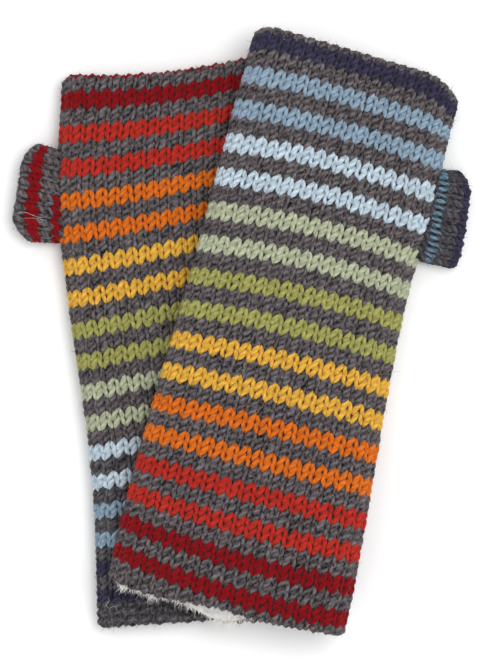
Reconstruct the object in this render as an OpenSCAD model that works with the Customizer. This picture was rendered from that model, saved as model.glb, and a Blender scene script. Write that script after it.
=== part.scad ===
// A pair of striped knitted fingerless gloves with a fleece lining.
// They lie flat on the floor (z = 0) with the finger ends towards +Y, the upper glove
// across the lower one. Each glove is a knitted tube with a short thumb tube at its side.
// Rows run around the tubes, so a place on a tube is given by: how far along it the row
// is, how deep below the outer surface, and which point of the section.
// All lengths are millimetres and all angles degrees.

/* [Glove size] */
// Length of a glove along its side edges
glove_length = 222; // [205:0.5:240]
// Half of the flat width at the finger end
finger_half_width = 42.5; // [40:0.5:46]
// How much the half width grows towards the cuff
cuff_flare = 5.5; // [2:0.5:8]
// Thickness of one glove lying flat
glove_height = 16; // [15:0.5:18]

/* [Fabric] */
// Thickness of the knitted wall
knit_wall = 2.6; // [2.2:0.1:3]
// Thickness of the fleece lining
lining_wall = 2.4; // [1.6:0.1:2.6]
// Depth of the coloured rows in the knitted wall
yarn_depth = 1.3; // [0.8:0.1:1.5]
// Width of a coloured stripe of two rows
stripe_width = 6.6; // [5:0.1:8]
// Length of fleece that shows past the cuff
lining_peek = 2.6; // [1:0.1:5]
// Width of the row of hand stitching at each opening
stitch_width = 1.4; // [1:0.1:2]
// Depth of the row of hand stitching
stitch_depth = 1; // [0.6:0.1:1.4]

/* [Thumbs] */
// Half of the flat width of a thumb at its root
thumb_half_width = 18; // [16:0.5:18]
// How much the half width grows towards the thumb's end
thumb_flare = 1.5; // [0:0.1:2]
// Thickness of a flat thumb
thumb_height = 12.6; // [12.2:0.1:13]
// How far a thumb's root sits inside the side edge of the glove
thumb_inset = 3.4; // [2.5:0.1:3.6]
// Gap between a thumb's root and each end of the thumb opening
thumb_gap = 2.2; // [1.5:0.1:4]
// How far the lower glove's thumb stands out
lower_thumb_reach = 18.5; // [14:0.5:26]
// How far the upper glove's thumb stands out
upper_thumb_reach = 14.5; // [12:0.5:26]

/* [How the gloves lie] */
// Turn of the lower glove, anticlockwise
lower_turn = 5.1; // [0:0.1:10]
// Turn of the upper glove, anticlockwise
upper_turn = -13.7; // [-20:0.1:-8]
// Middle of the lower cuff, left to right
lower_cuff_x = -8.7; // [-15:0.1:-3]
// Middle of the lower cuff, front to back
lower_cuff_y = -113.9; // [-120:0.1:-105]
// Middle of the upper cuff, left to right
upper_cuff_x = -5.4; // [-15:0.1:-3]
// Middle of the upper cuff, front to back
upper_cuff_y = -105.4; // [-115:0.1:-100]
// Gap between the two gloves where they lie on each other
lie_gap = 0.9; // [0.6:0.1:2]
// Distance over which the upper glove slopes down to the floor
slope_run = 52; // [46:1:60]

/* [Hidden] */
LOWER = 0;
UPPER = 1;
CRIMSON = 0;
RED = 1;
ORANGE = 2;
YELLOW = 3;
LIME = 4;
SAGE = 5;
PALE_BLUE = 6;
BLUE = 7;
NAVY = 8;
STRIPES = 17; // coloured stripes on each hand, two of each colour and one of the last
CAP_POINTS = 6; // section points around each folded side edge
FLAT_POINTS = 5; // section points across each flat side
RING = 2 * (CAP_POINTS + FLAT_POINTS);

hand_radius = glove_height / 2;
thumb_radius = thumb_height / 2;
thumb_middle_z = thumb_radius + 0.3;
lining_depth = knit_wall + lining_wall;
thumb_lining_depth = knit_wall + lining_wall / 2; // thinner, to leave the flat thumb open
slope_lead = 7; // the upper glove starts sloping this far inside the lower one's side edge

// Row slant against the tube, at the cuff, the middle and the finger end
lower_slant = [-1.5, 15.1, 1.2];
upper_slant = [-3.6, 4.8, -2.2];
// Bow of the rows towards the finger end, at the same three places
lower_bow = [0, 1, -3.7];
upper_bow = [-4.5, 6.7, 0.6];
// Sideways bend of the whole glove to one side, and its sway to both sides
lower_bend = [-4, 3.5];
upper_bend = [-1.8, 0];
// The part of the length over which the cuff's flare runs out
flare_share = 0.65;
// The first stripe's and the last stripe's middle, as shares of the length, and the sag between
lower_stripe_span = [0.062, 0.958, -0.024];
upper_stripe_span = [0.029, 0.974, -0.056];
// The middle of the thumb, counted in stripes from the cuff
lower_thumb_stripe = 13.3;
upper_thumb_stripe = 12.35;
// Direction of a thumb's flat section, at its root and at its end
lower_thumb_ways = [90, 82.6];
upper_thumb_ways = [78, 76.3];

// ---------------------------------------------------------------- where things are

function pick(glove, lower, upper) = glove == LOWER ? lower : upper;

// A smooth curve through a start, a pull and an end value
function curve(v, s) = v[0] * pow(1 - s, 2) + 2 * v[1] * s * (1 - s) + v[2] * s * s;

function smooth(t) = let (c = max(0, min(1, t))) c * c * (3 - 2 * c);

function turn(glove) = pick(glove, lower_turn, upper_turn);
function side(glove) = pick(glove, -1, 1);
function along(glove) = direction(turn(glove) + 90);
function across(glove) = direction(turn(glove));

function row_angle(glove, s) = turn(glove) + curve(pick(glove, lower_slant, upper_slant), s);
function direction(angle) = [cos(angle), sin(angle)];

function half_width(s) = finger_half_width + cuff_flare * (1 - smooth(s / flare_share));

function cuff_middle(glove) =
    pick(glove, [lower_cuff_x, lower_cuff_y], [upper_cuff_x, upper_cuff_y]);

function spine(glove, s) =
    let (bend = pick(glove, lower_bend, upper_bend))
    cuff_middle(glove)
    + along(glove) * (s * glove_length)
    + across(glove) * (bend[0] * sin(180 * s) + bend[1] * sin(360 * s));

// The point of a row s of the way to the finger end, x to the side of its middle
function row_point(glove, s, x) =
    let (share = x / half_width(s))
    spine(glove, s)
    + direction(row_angle(glove, s)) * x
    + along(glove) * (curve(pick(glove, lower_bow, upper_bow), s) * (1 - share * share));

// The lower glove's edge that the upper glove covers, as a line from cuff to finger end
function covered_edge_x(y) =
    let (
        low = row_point(LOWER, 0, half_width(0)),
        high = row_point(LOWER, 1, half_width(1)),
        share = (y - low.y) / (high.y - low.y)
    )
    low.x + (high.x - low.x) * share;

// How far the floor of the upper glove is lifted by the lower one
function lift(glove, p) =
    let (past = p.x - covered_edge_x(p.y) + slope_lead)
    pick(glove, 0, (glove_height + lie_gap) * smooth(1 - past / slope_run));

// ---------------------------------------------------------------- sections

// The section is a flattened ring: two folded side edges and two flats between them.
// Returns [side, share across the flat, turn around the folded edge].
function section(j) =
    j < CAP_POINTS ? [1, 1, 180 * (j + 0.5) / CAP_POINTS - 90]
    : j < CAP_POINTS + FLAT_POINTS
        ? [0, 1 - 2 * (j - CAP_POINTS + 0.5) / FLAT_POINTS, 90]
    : j < 2 * CAP_POINTS + FLAT_POINTS
        ? [-1, 1, 180 * (j - CAP_POINTS - FLAT_POINTS + 0.5) / CAP_POINTS + 90]
    : [0, 2 * (j - 2 * CAP_POINTS - FLAT_POINTS + 0.5) / FLAT_POINTS - 1, 270];

function ring_point(j, half, radius, depth) =
    let (
        p = section(j),
        flat = half - radius,
        reach = radius - depth
    )
    p[0] == 0
        ? [flat * p[1], reach * sin(p[2])]
        : [flat * p[0] + reach * cos(p[2]), reach * sin(p[2])];

function hand_point(glove, s, depth, j) =
    let (
        q = ring_point(j, half_width(s), hand_radius, depth),
        p = row_point(glove, s, q[0])
    )
    [p.x, p.y, hand_radius + q[1] + lift(glove, p)];

// The middle of the thumb, as a share of the glove's length
function thumb_place(glove) =
    stripe_middle(glove, pick(glove, lower_thumb_stripe, upper_thumb_stripe));

function thumb_way(glove, share) =
    let (ways = pick(glove, lower_thumb_ways, upper_thumb_ways))
    direction(ways[0] + (ways[1] - ways[0]) * share);

// The way that a thumb points, square to the section at its end
function thumb_out(glove) =
    let (end = thumb_way(glove, 1))
    [end.y, -end.x] * side(glove);

function thumb_reach(glove) = pick(glove, lower_thumb_reach, upper_thumb_reach);
function thumb_length(glove) = thumb_inset + thumb_reach(glove);

function thumb_point(glove, t, depth, j) =
    let (
        s = thumb_place(glove),
        share = t / thumb_length(glove),
        q = ring_point(j, thumb_half_width + thumb_flare * share, thumb_radius, depth),
        p = row_point(glove, s, side(glove) * half_width(s))
            + thumb_out(glove) * (t - thumb_inset)
            - thumb_way(glove, share) * (side(glove) * q[0])
    )
    [p.x, p.y, thumb_middle_z + q[1]];

// ---------------------------------------------------------------- stripes

function stripe_middle(glove, k) =
    let (
        span = pick(glove, lower_stripe_span, upper_stripe_span),
        share = k / (STRIPES - 1)
    )
    span[0] + (span[1] - span[0]) * share + span[2] * share * (1 - share);

function stripe(glove, k) =
    let (half = stripe_width / 2 / glove_length)
    [stripe_middle(glove, k) - half, stripe_middle(glove, k) + half];

// The middle of the grey rows after stripe k
function grey_middle(glove, k) = (stripe_middle(glove, k) + stripe_middle(glove, k + 1)) / 2;

// The colours run crimson to navy from the cuff on the upper glove, and back on the lower
function stripe_colour(glove, k) =
    let (pair = floor(k / 2))
    pick(glove, NAVY - pair, pair);

// The hand stitching at the cuff and the finger end, as shares of the length. The lower
// glove's last crimson row is folded over at the finger end, where the stitching is.
cuff_row = [0, stitch_width / glove_length];
edge_row = [1 - stitch_width / glove_length, 1];

// The two ends of the thumb opening, as shares of the length
function opening(glove) =
    let (half = (thumb_half_width + thumb_gap) / glove_length)
    [thumb_place(glove) - half, thumb_place(glove) + half];

function between(places, low, high) = [for (p = places) if (p > low && p < high) p];

// The ends of the thumb opening that lie in stripe k, and those in the grey rows after it
function ends_in_stripe(glove, k) =
    between(opening(glove), stripe(glove, k)[0], stripe(glove, k)[1]);
function ends_after_stripe(glove, k) =
    between(opening(glove), stripe(glove, k)[1], stripe(glove, k + 1)[0]);

// Places in the grey rows after stripe k where the wall has a ring
function grey_places(glove, k) =
    k == STRIPES - 1 ? []
    : len(ends_after_stripe(glove, k)) > 0 ? ends_after_stripe(glove, k)
    : [grey_middle(glove, k)];

// All the places between cuff and finger end where the inner surface has a ring
function wall_places(glove) =
    [for (k = [0 : STRIPES - 1]) each concat(ends_in_stripe(glove, k), grey_places(glove, k))];

// The outline of the grey knit from cuff to finger end as [place, depth], grooved where
// the coloured rows lie
function grey_outline(glove) = concat(
    [[0, 0], [cuff_row[1], 0]],
    [for (k = [0 : STRIPES - 1])
        let (band = stripe(glove, k))
        each concat(
            [[band[0], 0], [band[0], yarn_depth]],
            [for (p = ends_in_stripe(glove, k)) [p, yarn_depth]],
            [[band[1], yarn_depth], [band[1], 0]],
            [for (p = grey_places(glove, k)) [p, 0]]
        )],
    [[edge_row[0], 0]],
    pick(glove, [[edge_row[0], yarn_depth], [1, yarn_depth]], [[1, 0]])
);

// The thumbs' coloured rings, as distances out from the root
lower_thumb_rings = [[3.6, 7.2], [11.4, 16]];
upper_thumb_rings = [[3.8, 6.4], [thumb_length(UPPER) - 4.6, thumb_length(UPPER)]];
function thumb_rings(glove) = pick(glove, lower_thumb_rings, upper_thumb_rings);

// Where a thumb's lining ends and its hand stitching starts
function thumb_hem(glove) = thumb_length(glove) - stitch_width;

// The rings of a coloured thumb row as places out from the root
function ring_places(glove, ring) =
    concat([ring[0]], between([thumb_hem(glove)], ring[0], ring[1]), [ring[1]]);

function thumb_outline(glove) =
    let (
        rings = thumb_rings(glove),
        end = thumb_length(glove)
    )
    concat(
        [[0, 0]],
        [for (r = rings) each concat(
            [[r[0], 0]],
            [for (p = ring_places(glove, r)) [p, yarn_depth]],
            r[1] < end ? [[r[1], 0]] : []
        )],
        rings[len(rings) - 1][1] < end ? [[thumb_hem(glove), 0], [end, 0]] : []
    );

// ---------------------------------------------------------------- solids

function tube_point(glove, thumb, place, depth, j) =
    thumb ? thumb_point(glove, place, depth, j) : hand_point(glove, place, depth, j);

// The entries of an outline at these places, where the inner surface has its rings
function seats_at(outline, places) = [
    for (k = [0 : len(outline) - 1])
        if (len([for (p = places) if (p == outline[k][0]) p]) > 0
            && (k == 0 || outline[k - 1][0] != outline[k][0]))
            k
];

// Which inner ring an outer ring is joined to
function seat_of(seats, k) = len([for (v = seats) if (v <= k) v]) - 1;

// A tube wall. outline lists [place, depth] of the outer surface, and inner_depth is the
// depth of the inner one, which has a ring under each outline entry that seats names.
// hole is [first span, last span, first point, last point] left out of the wall.
module wall(glove, thumb, outline, inner_depth, seats, hole = [0, 0, 0, 0]) {
    rings = len(outline);
    points = concat(
        [for (o = outline, j = [0 : RING - 1]) tube_point(glove, thumb, o[0], o[1], j)],
        [for (v = seats, j = [0 : RING - 1])
            tube_point(glove, thumb, outline[v][0], inner_depth, j)]
    );

    function outer(k, j) = k * RING + (j + RING) % RING;
    function inner(k, j) = (rings + seat_of(seats, k)) * RING + (j + RING) % RING;
    function in_hole(k, j) = k >= hole[0] && k < hole[1] && j >= hole[2] && j < hole[3];
    function filled(k, j) = k >= 0 && k < rings - 1 && !in_hole(k, (j + RING) % RING);
    function same_seat(k) = seat_of(seats, k) == seat_of(seats, k + 1);

    surface = [for (k = [0 : rings - 2], j = [0 : RING - 1]) if (filled(k, j)) each [
        [outer(k, j), outer(k, j + 1), outer(k + 1, j + 1)],
        [outer(k, j), outer(k + 1, j + 1), outer(k + 1, j)],
        if (!same_seat(k)) [inner(k + 1, j + 1), inner(k, j + 1), inner(k, j)],
        if (!same_seat(k)) [inner(k + 1, j), inner(k + 1, j + 1), inner(k, j)]
    ]];
    starts = [for (k = [0 : rings - 1], j = [0 : RING - 1])
        if (filled(k, j) && !filled(k - 1, j)) each [
            [outer(k, j), inner(k, j), inner(k, j + 1)],
            [outer(k, j), inner(k, j + 1), outer(k, j + 1)]
        ]];
    ends = [for (k = [0 : rings - 1], j = [0 : RING - 1])
        if (!filled(k, j) && filled(k - 1, j)) each [
            [outer(k, j), inner(k, j + 1), inner(k, j)],
            [outer(k, j), outer(k, j + 1), inner(k, j + 1)]
        ]];
    low_sides = [for (k = [0 : rings - 2], j = [0 : RING - 1])
        if (filled(k, j) && !filled(k, j - 1)) each [
            [outer(k, j), outer(k + 1, j), inner(k + 1, j)],
            if (!same_seat(k)) [outer(k, j), inner(k + 1, j), inner(k, j)]
        ]];
    high_sides = [for (k = [0 : rings - 2], j = [0 : RING - 1])
        if (!filled(k, j) && filled(k, j - 1)) each [
            [outer(k, j), inner(k + 1, j), outer(k + 1, j)],
            if (!same_seat(k)) [outer(k, j), inner(k, j), inner(k + 1, j)]
        ]];
    polyhedron(points, concat(surface, starts, ends, low_sides, high_sides));
}

// The section points between which the thumb opening lies
function opening_points(glove) =
    pick(glove, [CAP_POINTS + FLAT_POINTS, RING - FLAT_POINTS - 1], [0, CAP_POINTS - 1]);

// The part of an outline that lies in the thumb opening, as a hole for wall()
function opening_hole(glove, outline) =
    let (ends = opening(glove))
    concat(
        [
            len([for (o = outline) if (o[0] < ends[0]) o]),
            len([for (o = outline) if (o[0] <= ends[1]) o]) - 1
        ],
        opening_points(glove)
    );

module grey_hand(glove) {
    outline = grey_outline(glove);
    seats = seats_at(outline, concat([0, cuff_row[1], edge_row[0], 1], wall_places(glove)));
    color("#6b676b")
        wall(glove, false, outline, knit_wall, seats, opening_hole(glove, outline));
}

module hand_band(glove, band) {
    ends = between(opening(glove), band[0], band[1]);
    outline = [for (p = concat([band[0]], ends, [band[1]])) [p, 0]];
    seats = [for (k = [0 : len(outline) - 1]) k];
    wall(glove, false, outline, yarn_depth, seats, opening_hole(glove, outline));
}

module colour_hand(glove, colour) {
    for (k = [0 : STRIPES - 1])
        if (stripe_colour(glove, k) == colour)
            hand_band(glove, stripe(glove, k));
}

module folded_edge_row() {
    hand_band(LOWER, edge_row);
}

module hand_lining(glove) {
    groove = knit_wall + stitch_depth;
    outline = concat(
        [[-lining_peek / glove_length, groove], [cuff_row[1], groove], [cuff_row[1], knit_wall]],
        [for (p = wall_places(glove)) [p, knit_wall]],
        [[edge_row[0], knit_wall]]
    );
    seats = concat([0], [for (k = [3 : len(outline) - 1]) k]);
    color("#e8e6e2")
        wall(glove, false, outline, lining_depth, seats, opening_hole(glove, outline));
}

module hand_stitching(glove, row) {
    outline = [[row[0], knit_wall], [row[1], knit_wall]];
    color("#8a868a") wall(glove, false, outline, knit_wall + stitch_depth, [0, 1]);
}

module grey_thumb(glove) {
    outline = thumb_outline(glove);
    seats = seats_at(outline, [0, thumb_hem(glove), thumb_length(glove)]);
    color("#6b676b") wall(glove, true, outline, knit_wall, seats);
}

module thumb_ring(glove, ring) {
    outline = [for (p = ring_places(glove, ring)) [p, 0]];
    wall(glove, true, outline, yarn_depth, [for (k = [0 : len(outline) - 1]) k]);
}

module thumb_lining(glove) {
    outline = [[0, knit_wall], [thumb_hem(glove), knit_wall]];
    color("#e8e6e2") wall(glove, true, outline, thumb_lining_depth, [0, 1]);
}

module thumb_stitching(glove) {
    outline = [[thumb_hem(glove), knit_wall], [thumb_length(glove), knit_wall]];
    color("#8a868a") wall(glove, true, outline, knit_wall + stitch_depth / 2, [0, 1]);
}

// ---------------------------------------------------------------- the pieces

module lower_grey_yarn() {
    grey_hand(LOWER);
}

module lower_crimson_yarn() {
    color("#8e2023") {
        colour_hand(LOWER, CRIMSON);
        folded_edge_row();
    }
}

module lower_red_yarn() {
    color("#b63730") colour_hand(LOWER, RED);
}

module lower_orange_yarn() {
    color("#dc782e") colour_hand(LOWER, ORANGE);
}

module lower_yellow_yarn() {
    color("#e3af46") colour_hand(LOWER, YELLOW);
}

module lower_lime_yarn() {
    color("#a09f5d") colour_hand(LOWER, LIME);
}

module lower_sage_yarn() {
    color("#b0b798") colour_hand(LOWER, SAGE);
}

module lower_pale_blue_yarn() {
    color("#b9cdd6") colour_hand(LOWER, PALE_BLUE);
}

module lower_blue_yarn() {
    color("#8ea5ba") colour_hand(LOWER, BLUE);
}

module lower_navy_yarn() {
    color("#383645") colour_hand(LOWER, NAVY);
}

module lower_hand_lining() {
    hand_lining(LOWER);
}

module lower_cuff_stitching() {
    hand_stitching(LOWER, cuff_row);
}

module lower_finger_stitching() {
    hand_stitching(LOWER, edge_row);
}

module lower_thumb_grey_yarn() {
    grey_thumb(LOWER);
}

module lower_thumb_crimson_yarn() {
    color("#8e2023")
        for (ring = lower_thumb_rings)
            thumb_ring(LOWER, ring);
}

module lower_thumb_lining() {
    thumb_lining(LOWER);
}

module lower_thumb_stitching() {
    thumb_stitching(LOWER);
}

module upper_grey_yarn() {
    grey_hand(UPPER);
}

module upper_crimson_yarn() {
    color("#8e2023") colour_hand(UPPER, CRIMSON);
}

module upper_red_yarn() {
    color("#b63730") colour_hand(UPPER, RED);
}

module upper_orange_yarn() {
    color("#dc782e") colour_hand(UPPER, ORANGE);
}

module upper_yellow_yarn() {
    color("#e3af46") colour_hand(UPPER, YELLOW);
}

module upper_lime_yarn() {
    color("#a09f5d") colour_hand(UPPER, LIME);
}

module upper_sage_yarn() {
    color("#b0b798") colour_hand(UPPER, SAGE);
}

module upper_pale_blue_yarn() {
    color("#b9cdd6") colour_hand(UPPER, PALE_BLUE);
}

module upper_blue_yarn() {
    color("#8ea5ba") colour_hand(UPPER, BLUE);
}

module upper_navy_yarn() {
    color("#383645") colour_hand(UPPER, NAVY);
}

module upper_hand_lining() {
    hand_lining(UPPER);
}

module upper_cuff_stitching() {
    hand_stitching(UPPER, cuff_row);
}

module upper_finger_stitching() {
    hand_stitching(UPPER, edge_row);
}

module upper_thumb_grey_yarn() {
    grey_thumb(UPPER);
}

module upper_thumb_blue_yarn() {
    color("#8ea5ba") thumb_ring(UPPER, upper_thumb_rings[0]);
}

module upper_thumb_navy_yarn() {
    color("#383645") thumb_ring(UPPER, upper_thumb_rings[1]);
}

module upper_thumb_lining() {
    thumb_lining(UPPER);
}

module upper_thumb_stitching() {
    thumb_stitching(UPPER);
}

lower_grey_yarn();
lower_crimson_yarn();
lower_red_yarn();
lower_orange_yarn();
lower_yellow_yarn();
lower_lime_yarn();
lower_sage_yarn();
lower_pale_blue_yarn();
lower_blue_yarn();
lower_navy_yarn();
lower_hand_lining();
lower_cuff_stitching();
lower_finger_stitching();
lower_thumb_grey_yarn();
lower_thumb_crimson_yarn();
lower_thumb_lining();
lower_thumb_stitching();
upper_grey_yarn();
upper_crimson_yarn();
upper_red_yarn();
upper_orange_yarn();
upper_yellow_yarn();
upper_lime_yarn();
upper_sage_yarn();
upper_pale_blue_yarn();
upper_blue_yarn();
upper_navy_yarn();
upper_hand_lining();
upper_cuff_stitching();
upper_finger_stitching();
upper_thumb_grey_yarn();
upper_thumb_blue_yarn();
upper_thumb_navy_yarn();
upper_thumb_lining();
upper_thumb_stitching();
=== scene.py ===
"""Looks for a pair of striped, hand-knitted fingerless gloves with fleece linings.

Each glove is a flattened tube. A place on its cloth is given by how far it is from the
cuff (mm), which share of the way round the tube it is, starting under the middle, and how
deep it is below the outer surface (mm). The knitting is real yarn: each row is one tube of
yarn that follows the loops of stocking stitch or, at the lower cuff, of garter stitch.
Lengths are millimetres until a mesh is made.
"""

import math

import bpy
import numpy as np
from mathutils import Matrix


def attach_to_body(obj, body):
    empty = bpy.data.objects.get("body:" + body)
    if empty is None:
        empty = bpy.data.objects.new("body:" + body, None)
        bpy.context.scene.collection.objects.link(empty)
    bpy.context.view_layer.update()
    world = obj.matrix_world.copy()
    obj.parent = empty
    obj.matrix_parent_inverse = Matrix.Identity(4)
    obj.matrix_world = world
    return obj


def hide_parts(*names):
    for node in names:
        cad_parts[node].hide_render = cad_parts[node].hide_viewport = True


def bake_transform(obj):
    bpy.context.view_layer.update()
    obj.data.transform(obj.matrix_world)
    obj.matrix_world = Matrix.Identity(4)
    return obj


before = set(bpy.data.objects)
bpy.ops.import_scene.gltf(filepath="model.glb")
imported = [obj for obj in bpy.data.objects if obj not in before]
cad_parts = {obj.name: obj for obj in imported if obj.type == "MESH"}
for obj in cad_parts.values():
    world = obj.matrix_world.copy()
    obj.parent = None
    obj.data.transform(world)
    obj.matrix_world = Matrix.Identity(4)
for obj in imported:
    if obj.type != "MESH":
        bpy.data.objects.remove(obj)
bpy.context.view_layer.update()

MM = 0.001
rng = np.random.default_rng(20)

# ---------------------------------------------------------------- sizes, as in the frame

# The hand: its length, its half width at the fingers, what the cuff adds to that and over
# which share of the length, and the radius of its rounded side edges.
LENGTH = 222.0
FINGER_HALF = 42.5
CUFF_FLARE = 5.5
FLARE_SHARE = 0.65
HAND_RADIUS = 8.0

# The thumb: the radius of its edges, its height over the floor, its half width at the root,
# what it widens by, and how far inside the hand's edge it starts.
THUMB_RADIUS = 6.3
THUMB_MIDDLE_Z = THUMB_RADIUS + 0.3
THUMB_HALF = 18.0
THUMB_FLARE = 1.5
THUMB_INSET = 3.4

# The upper glove slopes down to the floor past the lower one's edge.
LIE_GAP = 0.9
SLOPE_RUN = 52.0
SLOPE_LEAD = 7.0

# Stripes from cuff to finger end. Each is so many coloured rows, then grey ones.
STRIPES = 17
ROWS_PER_STRIPE = 4
COLOURED_ROWS = 2

# How far the cloth's own shapes run: the hem at the cuff, the lining's tuck there, the
# corners at the finger end, the swelling at the thumb, and the underside's long part.
CUFF_RUN = 40.0
TUCK_RUN = 25.0
CORNER_RUN = 30.0
BULGE_RUN = 17.0
UNDER_MIDDLE = -2.0
UNDER_RUN = 13.0

COLOURS = ["crimson", "red", "orange", "yellow", "lime", "sage", "pale_blue", "blue", "navy"]

# Each glove lies turned by some degrees, from its middle at the cuff. Its rows slant and bow, by
# three values from the cuff to the finger end, and its sides bend and sway. The span is where
# the first and the last stripe lie, as shares of the length, and how unevenly they are spread.
# A corner droops by some mm from a share of the half width out, as a thumb's corners do.
GLOVES = {
    "lower": {
        "turn": 5.1,
        "side": -1,
        "columns": 38,
        "hem_drop": 0.0,
        "under_reach": 0.0,
        "lining_tuck": 0.0,
        "corners": ((2.5, 0.85), (2.5, 0.85)),
        "bulge": 1.4,
        "thumb_droops": (9.5, 6.0),
        "thumb_shift": -1.6,
        "cuff": (-8.7, -113.9),
        "bend": -4.0,
        "sway": 3.5,
        "slant": (-1.5, 15.1, 1.2),
        "bow": (0.0, 1.0, -3.7),
        "span": (0.062, 0.958, -0.024),
        "colours": [8 - k // 2 for k in range(STRIPES)],
        "thumb_stripe": 13.3,
        "thumb_reach": 17.0,
        "thumb_ways": (90.0, 80.5),
    },
    "upper": {
        "turn": -13.7,
        "side": 1,
        "columns": 40,
        "hem_drop": 5.5,
        "under_reach": 4.5,
        "lining_tuck": 3.5,
        "corners": ((3.5, 0.8), (8.0, 0.62)),
        "bulge": 2.4,
        "thumb_droops": (2.5, 7.0),
        "thumb_shift": 0.0,
        "cuff": (-5.4, -105.4),
        "bend": -1.8,
        "sway": 0.0,
        "slant": (-3.6, 4.8, -2.2),
        "bow": (-4.5, 6.7, 0.6),
        "span": (0.029, 0.974, -0.056),
        "colours": [k // 2 for k in range(STRIPES)],
        "thumb_stripe": 12.35,
        "thumb_reach": 15.6,
        "thumb_ways": (78.0, 81.5),
    },
}

# ---------------------------------------------------------------- where the cloth lies

# A place that no cloth reaches, for an end that doesn't fold.
FAR_BELOW = -100.0


def curve(v, s):
    """A smooth curve through a start, a pull and an end value."""
    return v[0] * (1 - s) ** 2 + 2 * v[1] * s * (1 - s) + v[2] * s * s


def smooth(t):
    """A soft step from 0 at 0 to 1 at 1."""
    t = np.clip(t, 0, 1)
    return t * t * (3 - 2 * t)


def way(angle):
    """The unit vector at an angle in degrees, anticlockwise from +X."""
    return np.stack([np.cos(np.radians(angle)), np.sin(np.radians(angle))], axis=-1)


def half_width(s):
    """Half of a flat glove's width at a share of its length."""
    return FINGER_HALF + CUFF_FLARE * (1 - smooth(s / FLARE_SHARE))


def row_point(glove, s, x):
    """The point of the row s of the way to the finger end, x to the side of its middle."""
    s, x = np.broadcast_arrays(np.asarray(s, float), np.asarray(x, float))
    spine = (
        np.array(glove["cuff"])
        + way(glove["turn"] + 90) * (s * LENGTH)[..., None]
        + way(glove["turn"])
        * (glove["bend"] * np.sin(np.pi * s) + glove["sway"] * np.sin(2 * np.pi * s))[..., None]
    )
    share = x / half_width(s)
    bow = curve(glove["bow"], s) * (1 - share**2)
    return (
        spine
        + way(glove["turn"] + curve(glove["slant"], s)) * x[..., None]
        + way(glove["turn"] + 90) * bow[..., None]
    )


def lift(glove, p):
    """How far the lower glove lifts the upper one off the floor."""
    if glove["side"] < 0:
        return np.zeros(p.shape[:-1])
    low = row_point(GLOVES["lower"], 0.0, half_width(0.0))
    high = row_point(GLOVES["lower"], 1.0, half_width(1.0))
    edge_x = low[0] + (high[0] - low[0]) * (p[..., 1] - low[1]) / (high[1] - low[1])
    past = p[..., 0] - edge_x + SLOPE_LEAD
    return (2 * HAND_RADIUS + LIE_GAP) * smooth(1 - past / SLOPE_RUN)


def section(half, radius, around, depth):
    """A flattened ring, by share of the way round from under its middle: across, up."""
    flat = half - radius
    total = 4 * flat + 2 * np.pi * radius
    d = np.mod(around, 1.0) * total
    cap = np.pi * radius
    reach = radius - depth
    right = d - flat
    top = d - flat - cap
    left = d - 3 * flat - cap
    under = d - 3 * flat - 2 * cap
    turn = np.where(right < cap, right / radius - np.pi / 2, left / radius + np.pi / 2)
    on_cap = ((right >= 0) & (top < 0)) | ((left >= 0) & (under < 0))
    side = np.where(right < cap, 1.0, -1.0)
    x = np.where(on_cap, side * flat + reach * np.cos(turn), 0.0)
    z = np.where(on_cap, reach * np.sin(turn), 0.0)
    on_top = (top >= 0) & (left < 0)
    x = np.where(on_top, flat - top, x)
    z = np.where(on_top, reach, z)
    x = np.where(right < 0, d, np.where(under >= 0, under - flat, x))
    z = np.where((right < 0) | (under >= 0), -reach, z)
    return x, z


def folded(place, depth, start, end, radius):
    """Rolls cloth that runs past either end back inside: its place and depth after that."""
    inner = radius - depth
    low = np.clip((start + radius - place) / radius, 0, np.pi)
    high = np.clip((place - end + radius) / radius, 0, np.pi)
    back = np.pi * radius
    past_low = np.maximum(start + radius - place - back, 0)
    past_high = np.maximum(place - end + radius - back, 0)
    at = np.where(low > 0, start + radius - inner * np.sin(low) + past_low, place)
    at = np.where(high > 0, end - radius + inner * np.sin(high) - past_high, at)
    roll = np.maximum(low, high)
    return at, np.where(roll > 0, radius - inner * np.cos(roll), depth)


def stripe_middle(glove, k):
    """How far the middle of stripe k lies from the cuff, for whole stripes and between them."""
    span, share = glove["span"], k / (STRIPES - 1)
    return LENGTH * (span[0] + (span[1] - span[0]) * share + span[2] * share * (1 - share))


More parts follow.
